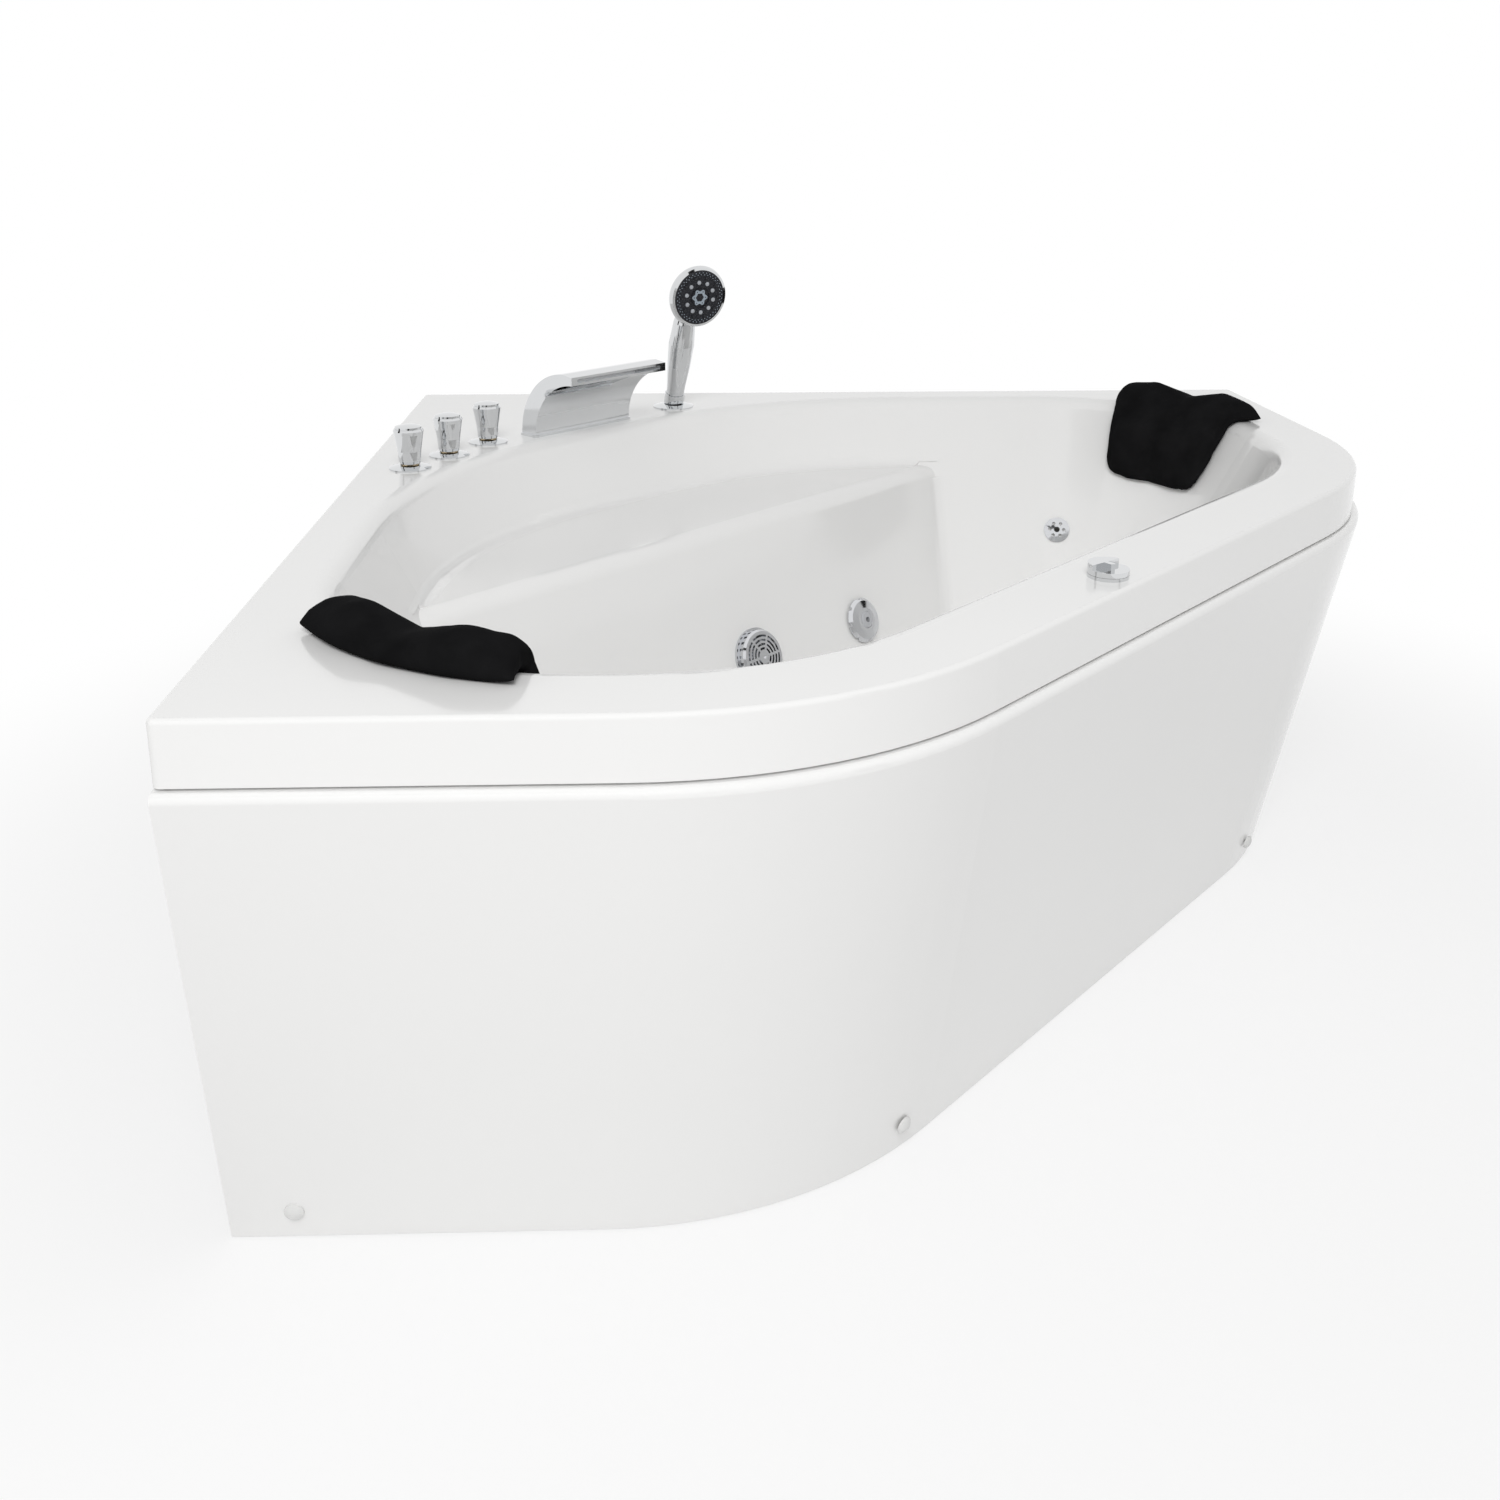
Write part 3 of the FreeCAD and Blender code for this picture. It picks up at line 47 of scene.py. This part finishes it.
class Shading:
    """A principled material with small helpers for its procedural detail."""

    def __init__(self, name, color, roughness, metallic=0.0, **sockets):
        self.material = bpy.data.materials.new(name)
        self.material.use_nodes = True
        self.tree = self.material.node_tree
        self.shader = self.tree.nodes["Principled BSDF"]
        self.shader.inputs["Base Color"].default_value = (*color, 1)
        self.shader.inputs["Roughness"].default_value = roughness
        self.shader.inputs["Metallic"].default_value = metallic
        for socket, value in sockets.items():
            self.shader.inputs[socket.replace("_", " ")].default_value = value
        self.place = self.tree.nodes.new("ShaderNodeTexCoord").outputs["Object"]
        self.normal = None

    def node(self, kind, **values):
        made = self.tree.nodes.new(kind)
        for key, value in values.items():
            setattr(made, key, value)
        return made

    def link(self, source, target):
        self.tree.links.new(source, target)

    def noise(self, scale, detail=3.0, rough=0.55, stretch=(1, 1, 1)):
        mapping = self.node("ShaderNodeMapping")
        mapping.inputs["Scale"].default_value = stretch
        self.link(self.place, mapping.inputs["Vector"])
        noise = self.node("ShaderNodeTexNoise")
        noise.inputs["Scale"].default_value = scale
        noise.inputs["Detail"].default_value = detail
        noise.inputs["Roughness"].default_value = rough
        self.link(mapping.outputs["Vector"], noise.inputs["Vector"])
        return noise.outputs["Fac"]

    def cells(self, scale, feature="F1"):
        cells = self.node("ShaderNodeTexVoronoi", feature=feature)
        cells.inputs["Scale"].default_value = scale
        self.link(self.place, cells.inputs["Vector"])
        return cells.outputs["Distance"]

    def ramp(self, source, low, high, start=0.0, end=1.0):
        """Maps a factor between two colours or two values."""
        ramp = self.node("ShaderNodeValToRGB")
        for element, position, value in zip(ramp.color_ramp.elements, (start, end), (low, high)):
            element.position = position
            element.color = (*value, 1) if isinstance(value, tuple) else (value, value, value, 1)
        self.link(source, ramp.inputs["Fac"])
        return ramp.outputs["Color"]

    def tint(self, source, low, high, start=0.3, end=0.7):
        self.link(self.ramp(source, low, high, start, end), self.shader.inputs["Base Color"])

    def gloss(self, source, low, high, start=0.3, end=0.7):
        self.link(self.ramp(source, low, high, start, end), self.shader.inputs["Roughness"])

    def bump(self, source, strength, distance):
        bump = self.node("ShaderNodeBump")
        bump.inputs["Strength"].default_value = strength
        bump.inputs["Distance"].default_value = distance
        self.link(source, bump.inputs["Height"])
        if self.normal:
            self.link(self.normal, bump.inputs["Normal"])
        self.normal = bump.outputs["Normal"]
        self.link(self.normal, self.shader.inputs["Normal"])


def shade(base, amount):
    return tuple(channel * amount for channel in base)


def acrylic(name, base):
    """Cast sanitary acrylic: a clear gloss over an even white, with a vacuum-formed sheet's faint ripple."""
    made = Shading(name, base, 0.16, Coat_Weight=0.35, Coat_Roughness=0.06, Specular_IOR_Level=0.45)
    made.tint(made.noise(2.2, 2), shade(base, 0.985), base)
    made.gloss(made.noise(9, 4), 0.13, 0.2)
    made.bump(made.noise(5, 1), 0.06, 0.002)
    made.bump(made.noise(420, 2), 0.02, 0.0002)
    return made.material


def chrome(name, base=(0.68, 0.69, 0.7), low=0.035, high=0.09):
    made = Shading(name, base, low, 1.0)
    made.gloss(made.noise(60, 5, 0.65), low, high, 0.35, 0.75)
    made.bump(made.noise(240, 2), 0.015, 0.0001)
    return made.material


def moulded(name, base, roughness=0.45, grain=900, strength=0.12):
    """Moulded plastic: fine spark-eroded grain and slight flow marks."""
    made = Shading(name, base, roughness, Specular_IOR_Level=0.4)
    made.tint(made.noise(14, 3), shade(base, 0.9), shade(base, 1.05))
    made.gloss(made.noise(40, 3), roughness - 0.06, roughness + 0.08)
    made.bump(made.noise(grain, 2), strength, 0.0002)
    return made.material


def padded_vinyl(name, base):
    """Skinned foam: nearly black, with a soft satin sheen, a fine pebble and a few shallow pores."""
    made = Shading(name, base, 0.58, IOR=1.03, Specular_IOR_Level=0.25)
    made.tint(made.noise(18, 4), shade(base, 0.8), shade(base, 1.35))
    made.gloss(made.noise(30, 4), 0.52, 0.66)
    made.bump(made.noise(9, 2), 0.12, 0.002)
    made.bump(made.cells(900), 0.16, 0.0004)
    made.bump(made.noise(2400, 2), 0.08, 0.0001)
    return made.material


def steel(name, base, roughness=0.34):
    """Zinc-plated or rolled steel with a spangled brightness and a brushed grain."""
    made = Shading(name, base, roughness, 0.9)
    made.tint(made.cells(260), shade(base, 0.86), base, 0.1, 0.6)
    made.gloss(made.noise(120, 4, 0.6, (1, 1, 12)), roughness - 0.08, roughness + 0.14)
    made.bump(made.noise(700, 2, 0.6, (1, 1, 8)), 0.06, 0.0002)
    return made.material


def powder_coat(name, base):
    made = Shading(name, base, 0.4, 0.15)
    made.tint(made.noise(7, 4), shade(base, 0.9), shade(base, 1.04))
    made.gloss(made.noise(80, 3), 0.34, 0.5)
    made.bump(made.noise(1100, 3), 0.2, 0.0003)
    return made.material


def brass(name, base):
    made = Shading(name, base, 0.28, 1.0)
    made.tint(made.noise(30, 5), shade(base, 0.72), base, 0.3, 0.65)
    made.gloss(made.noise(160, 4, 0.6, (1, 1, 10)), 0.2, 0.42)
    made.bump(made.noise(900, 2, 0.6, (1, 1, 14)), 0.08, 0.0002)
    return made.material


def plywood(name, base):
    """Birch ply: long grain on its faces, with darker fibres and open pores."""
    made = Shading(name, base, 0.7, Specular_IOR_Level=0.25)
    grain = made.noise(9, 8, 0.7, (1, 9, 9))
    made.tint(grain, shade(base, 0.62), shade(base, 1.12), 0.32, 0.66)
    made.gloss(made.noise(50, 4), 0.62, 0.8)
    made.bump(made.noise(60, 5, 0.7, (1, 12, 12)), 0.3, 0.0005)
    return made.material


def rubber(name, base):
    made = Shading(name, base, 0.72, Specular_IOR_Level=0.3)
    made.tint(made.noise(40, 4), shade(base, 0.75), shade(base, 1.4))
    made.gloss(made.noise(90, 3), 0.64, 0.82)
    made.bump(made.noise(1300, 3), 0.25, 0.0003)
    return made.material


WHITE = (0.915, 0.913, 0.905)
OUTER_NOZZLES = moulded("outer_nozzle_silicone", (0.02, 0.021, 0.025), 0.4, 1600, 0.05)
BY_SLOT = {
    "shell": acrylic("shell_acrylic", WHITE),
    "skirt": acrylic("skirt_acrylic", WHITE),
    "cap_white": moulded("cap_plastic", (0.8, 0.8, 0.79), 0.25, 700, 0.04),
    "chrome": chrome("chrome_plate"),
    "jet_chrome": chrome("chrome_on_plastic", (0.66, 0.67, 0.69), 0.07, 0.16),
    "spray_face": moulded("spray_face_plastic", (0.012, 0.013, 0.018), 0.24, 1200, 0.05),
    "nozzle_rubber": moulded("nozzle_silicone", (0.42, 0.44, 0.47), 0.4, 1600, 0.05),
    "jet_dark": moulded("jet_nozzle_plastic", (0.5, 0.51, 0.53), 0.3, 900, 0.05),
    "pillow": padded_vinyl("pillow_vinyl", (0.0095, 0.0095, 0.01)),
    "brass": brass("machined_brass", (0.62, 0.45, 0.19)),
    "pipe_white": moulded("glued_pipe_plastic", (0.74, 0.74, 0.71), 0.38, 600, 0.06),
    "fitting_white": moulded("fitting_plastic", (0.68, 0.68, 0.66), 0.42, 700, 0.08),
    "nut_plastic": moulded("nut_plastic", (0.46, 0.46, 0.45), 0.5, 800, 0.12),
    "rubber": rubber("foot_rubber", (0.018, 0.018, 0.018)),
    "frame_paint": powder_coat("frame_powder_coat", (0.34, 0.36, 0.385)),
    "zinc": steel("zinc_plate", (0.62, 0.62, 0.6)),
    "board": plywood("raw_plywood", (0.47, 0.31, 0.16)),
    "pump_plastic": moulded("pump_moulding", (0.014, 0.014, 0.016), 0.5, 800, 0.2),
    "motor_paint": powder_coat("motor_casing", (0.2, 0.22, 0.25)),
    "supply_pipe": brass("copper_pipe", (0.62, 0.27, 0.13)),
}
for entry in frame["record"]["subparts"]:
    data = NODES[entry["node"]].data
    data.materials.clear()
    data.materials.append(BY_SLOT[entry["material_slot"]])
NODES["spray_nozzles"].data.materials[0] = OUTER_NOZZLES


# Pillows: the solid's form, swollen by a cloth simulation

PRESSURE = 4.0
PUFF_CAP = 0.004
START_INSET = 0.0022
VOXEL = 0.004
SWELL_FRAMES = 20


def applied(obj):
    """Turns what the modifiers make of an object into its own mesh."""
    graph = bpy.context.evaluated_depsgraph_get()
    made = bpy.data.meshes.new_from_object(obj.evaluated_get(graph))
    obj.modifiers.clear()
    obj.data = made


def swell(obj):
    """Pumps the piece up with cloth, and keeps each point within the cap of where it started."""
    rest = [vertex.co.copy() for vertex in obj.data.vertices]
    bpy.context.view_layer.objects.active = obj
    cloth = obj.modifiers.new("swell", "CLOTH")
    settings = cloth.settings
    settings.quality = 6
    settings.mass = 0.3
    settings.tension_stiffness = 12
    settings.compression_stiffness = 12
    settings.shear_stiffness = 6
    settings.bending_stiffness = 2
    settings.use_pressure = True
    settings.uniform_pressure_force = PRESSURE
    settings.effector_weights.gravity = 0
    cloth.point_cache.frame_start = 1
    cloth.point_cache.frame_end = SWELL_FRAMES
    for step in range(1, SWELL_FRAMES + 1):
        bpy.context.scene.frame_set(step)
    applied(obj)
    bpy.context.scene.frame_set(1)
    for vertex, start in zip(obj.data.vertices, rest):
        move = vertex.co - start
        if move.length > PUFF_CAP:
            vertex.co = start + move.normalized() * PUFF_CAP


def pillow(side):
    node = NODES["pillow_" + side]
    obj = bpy.data.objects.new("headrest_" + side, node.data.copy())
    bpy.context.scene.collection.objects.link(obj)
    remesh = obj.modifiers.new("remesh", "REMESH")
    remesh.mode = "VOXEL"
    remesh.voxel_size = VOXEL
    smooth = obj.modifiers.new("smooth", "SMOOTH")
    smooth.factor = 0.5
    smooth.iterations = 12
    applied(obj)
    for vertex in obj.data.vertices:
        vertex.co -= vertex.normal * START_INSET
    swell(obj)
    settle = obj.modifiers.new("settle", "SMOOTH")
    settle.factor = 0.5
    settle.iterations = 6
    obj.data.materials.clear()
    obj.data.materials.append(BY_SLOT["pillow"])
    finer = obj.modifiers.new("finer", "SUBSURF")
    finer.levels = finer.render_levels = 1
    applied(obj)
    obj.data.polygons.foreach_set("use_smooth", [True] * len(obj.data.polygons))
    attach(obj, "pillow_" + side)
    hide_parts("pillow_" + side)
    return obj


for side in ("left", "right"):
    pillow(side)


# Shower face: the light studs, fine holes and plain rosette, laid on the flat of its disc

STUD_RING = 0.0256
HOLE_RINGS = (0.0386, 0.0419)
HOLES_A_RING = 40
PIN_RING = 0.0108
ROSETTE_OUTER = 0.0125
ROSETTE_INNER = 0.0068
ROSETTE_HEIGHT = 0.0005
ROSETTE_BEVEL = 0.0003
LOBES = 6


def face_frame():
    """The middle of the disc's flat front, its outward direction and two directions across it."""
    data = NODES["spray_face"].data
    place = NODES["spray_face"].matrix_world
    points = [place @ vertex.co for vertex in data.vertices]
    areas = {}
    for polygon in data.polygons:
        normal = (place.to_3x3() @ polygon.normal).normalized()
        if normal.y < 0:
            key = tuple(round(part, 2) for part in normal)
            areas[key] = areas.get(key, 0.0) + polygon.area
    out = Vector(max(areas, key=areas.get)).normalized()
    across = out.cross(Vector((0, 0, 1))).normalized()
    rise = across.cross(out).normalized()
    spread = []
    for way in (across, rise):
        reach = [point.dot(way) for point in points]
        spread.append((max(reach) + min(reach)) / 2)
    front = max(point.dot(out) for point in points)
    return across * spread[0] + rise * spread[1] + out * front, across, rise, out


def laid(name, points, faces, material):
    """Makes a piece from points given across, up and out from the disc's front."""
    middle, across, rise, out = face_frame()
    mesh = bpy.data.meshes.new(name)
    mesh.from_pydata([middle + across * a + rise * b + out * c for a, b, c in points], [], faces)
    mesh.materials.append(material)
    obj = bpy.data.objects.new(name, mesh)
    bpy.context.scene.collection.objects.link(obj)
    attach(obj, "spray_disc")
    return obj


def buttons(name, ring, count, turn, radius, height, material, sides=12):
    """A ring of low round studs with softened tops."""
    points, faces = [], []
    profile = [(1.0, 0.0), (0.94, 0.6), (0.72, 0.9), (0.35, 1.0)]
    for k in range(count):
        angle = 2 * math.pi * (k + turn) / count
        start = len(points)
        for share, level in profile:
            for s in range(sides):
                way = 2 * math.pi * s / sides
                points.append((ring * math.cos(angle) + radius * share * math.cos(way),
                               ring * math.sin(angle) + radius * share * math.sin(way), height * level))
        for level in range(len(profile) - 1):
            for s in range(sides):
                low = start + level * sides
                after = low + (s + 1) % sides
                faces.append((low + s, after, after + sides, low + sides + s))
        top = start + (len(profile) - 1) * sides
        faces.append(tuple(range(top, top + sides)))
        faces.append(tuple(range(start + sides - 1, start - 1, -1)))
    obj = laid(name, points, faces, material)
    obj.data.polygons.foreach_set("use_smooth", [True] * len(obj.data.polygons))


def rosette(material, steps=72):
    """A plain six-lobed ring in the middle of the disc."""
    points, faces = [], []
    for s in range(steps):
        way = 2 * math.pi * s / steps
        outer = ROSETTE_OUTER + 0.0019 * math.cos(LOBES * way)
        inner = ROSETTE_INNER + 0.0005 * math.cos(LOBES * way)
        profile = ((outer, 0), (outer - ROSETTE_BEVEL, ROSETTE_HEIGHT),
                   (inner + ROSETTE_BEVEL, ROSETTE_HEIGHT), (inner, 0))
        for radius, height in profile:
            points.append((radius * math.cos(way), radius * math.sin(way), height))
    for s in range(steps):
        here, there = 4 * s, 4 * ((s + 1) % steps)
        for k in range(4):
            faces.append((here + k, there + k, there + (k + 1) % 4, here + (k + 1) % 4))
    laid("face_rosette", points, faces, material)


PALE = moulded("face_print", (0.36, 0.42, 0.48), 0.35, 1600, 0.05)
DARK = moulded("face_pin", (0.015, 0.016, 0.02), 0.3, 1600, 0.05)
buttons("face_studs", STUD_RING, 10, 0.3, 0.0037, 0.0022, BY_SLOT["nozzle_rubber"], 20)
for row, ring in enumerate(HOLE_RINGS):
    buttons("face_holes_" + str(row + 1), ring, HOLES_A_RING, row / 2, 0.0008, 0.0004, PALE)
rosette(PALE)
buttons("face_pins", PIN_RING, LOBES, 0, 0.0011, 0.0009, DARK)


# Camera, from the photograph's own perspective

CAMERA_PLACE = (-0.30710, -1.89369, 1.09184)
CAMERA_PITCH = 74.487
CAMERA_YAW = -1.516
CAMERA_ROLL = -0.0917
camera_data = bpy.data.cameras.new("photo_camera")
camera_data.sensor_width = 36.0
camera_data.lens = 34.70
camera_data.shift_x = 0.0300
camera_data.shift_y = -0.1541
camera = bpy.data.objects.new("photo_camera", camera_data)
camera.location = CAMERA_PLACE
look = Euler((math.radians(CAMERA_PITCH), 0, math.radians(CAMERA_YAW))).to_matrix()
roll = Matrix.Rotation(math.radians(CAMERA_ROLL), 3, "Z")
camera.rotation_euler = (look @ roll).to_euler()
bpy.context.scene.collection.objects.link(camera)
bpy.context.scene.camera = camera


# Studio: a white surround, a pale floor, one broad lamp and dark and grey cards for the chrome to mirror

def card(name, centre, facing, width, height, color):
    """A flat card seen only in reflections."""
    mesh = bpy.data.meshes.new(name)
    corners = [(-width / 2, -height / 2, 0), (width / 2, -height / 2, 0),
               (width / 2, height / 2, 0), (-width / 2, height / 2, 0)]
    mesh.from_pydata(corners, [], [(0, 1, 2, 3)])
    obj = bpy.data.objects.new(name, mesh)
    obj.location = centre
    obj.rotation_euler = (Vector(facing) - Vector(centre)).to_track_quat("Z", "Y").to_euler()
    bpy.context.scene.collection.objects.link(obj)
    material = bpy.data.materials.new(name)
    material.use_nodes = True
    shader = material.node_tree.nodes["Principled BSDF"]
    shader.inputs["Base Color"].default_value = (*color, 1)
    shader.inputs["Roughness"].default_value = 1.0
    mesh.materials.append(material)
    obj.visible_camera = False
    obj.visible_diffuse = False
    obj.visible_shadow = False


def lamp(name, location, target, size, power):
    """A round lamp that lights the object and isn't mirrored in it."""
    data = bpy.data.lights.new(name, "AREA")
    data.shape = "DISK"
    data.size = size
    data.energy = power
    obj = bpy.data.objects.new(name, data)
    obj.location = location
    obj.rotation_euler = (Vector(location) - Vector(target)).to_track_quat("Z", "Y").to_euler()
    obj.visible_glossy = False
    bpy.context.scene.collection.objects.link(obj)


def surround():
    """White where it is seen or mirrored, and dimmer where it lights."""
    world = bpy.data.worlds.new("surround")
    world.use_nodes = True
    tree = world.node_tree
    background = tree.nodes["Background"]
    background.inputs["Color"].default_value = (1, 1, 1, 1)
    path = tree.nodes.new("ShaderNodeLightPath")
    seen = tree.nodes.new("ShaderNodeMath")
    seen.operation = "MAXIMUM"
    tree.links.new(path.outputs["Is Camera Ray"], seen.inputs[0])
    tree.links.new(path.outputs["Is Transmission Ray"], seen.inputs[1])
    also = tree.nodes.new("ShaderNodeMath")
    also.operation = "MAXIMUM"
    tree.links.new(seen.outputs[0], also.inputs[0])
    tree.links.new(path.outputs["Is Glossy Ray"], also.inputs[1])
    level = tree.nodes.new("ShaderNodeMapRange")
    level.inputs["To Min"].default_value = WORLD_LIGHT
    level.inputs["To Max"].default_value = 1.0
    tree.links.new(also.outputs[0], level.inputs["Value"])
    tree.links.new(level.outputs["Result"], background.inputs["Strength"])
    bpy.context.scene.world = world


def floor():
    """A pale floor that keeps the shadow near the object and turns white further out."""
    mesh = bpy.data.meshes.new("studio_floor")
    corners = [(-FLOOR_REACH, -FLOOR_REACH, 0), (FLOOR_REACH, -FLOOR_REACH, 0),
               (FLOOR_REACH, FLOOR_REACH, 0), (-FLOOR_REACH, FLOOR_REACH, 0)]
    mesh.from_pydata(corners, [], [(0, 1, 2, 3)])
    obj = bpy.data.objects.new("studio_floor", mesh)
    bpy.context.scene.collection.objects.link(obj)
    material = bpy.data.materials.new("studio_floor")
    material.use_nodes = True
    tree = material.node_tree
    shader = tree.nodes["Principled BSDF"]
    shader.inputs["Base Color"].default_value = (0.88, 0.88, 0.88, 1)
    shader.inputs["Roughness"].default_value = 0.9
    shader.inputs["Specular IOR Level"].default_value = 0.1
    glow = tree.nodes.new("ShaderNodeEmission")
    glow.inputs["Strength"].default_value = 1.0
    place = tree.nodes.new("ShaderNodeTexCoord")
    distance = tree.nodes.new("ShaderNodeVectorMath")
    distance.operation = "LENGTH"
    tree.links.new(place.outputs["Object"], distance.inputs[0])
    away = tree.nodes.new("ShaderNodeMapRange")
    away.interpolation_type = "SMOOTHSTEP"
    away.inputs["From Min"].default_value = 0.9
    away.inputs["From Max"].default_value = 1.9
    tree.links.new(distance.outputs["Value"], away.inputs["Value"])
    path = tree.nodes.new("ShaderNodeLightPath")
    seen = tree.nodes.new("ShaderNodeMath")
    seen.operation = "MAXIMUM"
    tree.links.new(path.outputs["Is Camera Ray"], seen.inputs[0])
    tree.links.new(path.outputs["Is Glossy Ray"], seen.inputs[1])
    share = tree.nodes.new("ShaderNodeMath")
    share.operation = "MULTIPLY"
    away.inputs["To Min"].default_value = FLOOR_GLOW
    tree.links.new(away.outputs["Result"], share.inputs[0])
    tree.links.new(seen.outputs[0], share.inputs[1])
    mix = tree.nodes.new("ShaderNodeMixShader")
    tree.links.new(share.outputs[0], mix.inputs[0])
    tree.links.new(shader.outputs[0], mix.inputs[1])
    tree.links.new(glow.outputs[0], mix.inputs[2])
    tree.links.new(mix.outputs[0], tree.nodes["Material Output"].inputs["Surface"])
    mesh.materials.append(material)


WORLD_LIGHT = 0.47
FLOOR_GLOW = 0.7
FLOOR_REACH = 30.0
KEY_POWER = 92
BLACK = (0.01, 0.01, 0.01)
surround()
floor()
lamp("key_lamp", (-0.5, -3.3, 3.5), (0, 0, 0.35), 2.0, KEY_POWER)
card("dark_card_left", (-3.2, -0.6, 1.3), (-0.4, 0.3, 0.7), 0.7, 2.6, BLACK)
card("dark_card_high", (-1.2, -1.6, 3.0), (-0.4, 0.3, 0.7), 1.6, 0.5, BLACK)
card("grey_card_front", (0.1, -3.2, 0.9), (-0.4, 0.3, 0.7), 1.0, 0.5, (0.35, 0.35, 0.36))
card("dark_card_right", (2.6, -2.4, 1.4), (0, 0.2, 0.7), 0.5, 2.4, (0.02, 0.02, 0.02))

bpy.context.scene.view_settings.view_transform = "Standard"
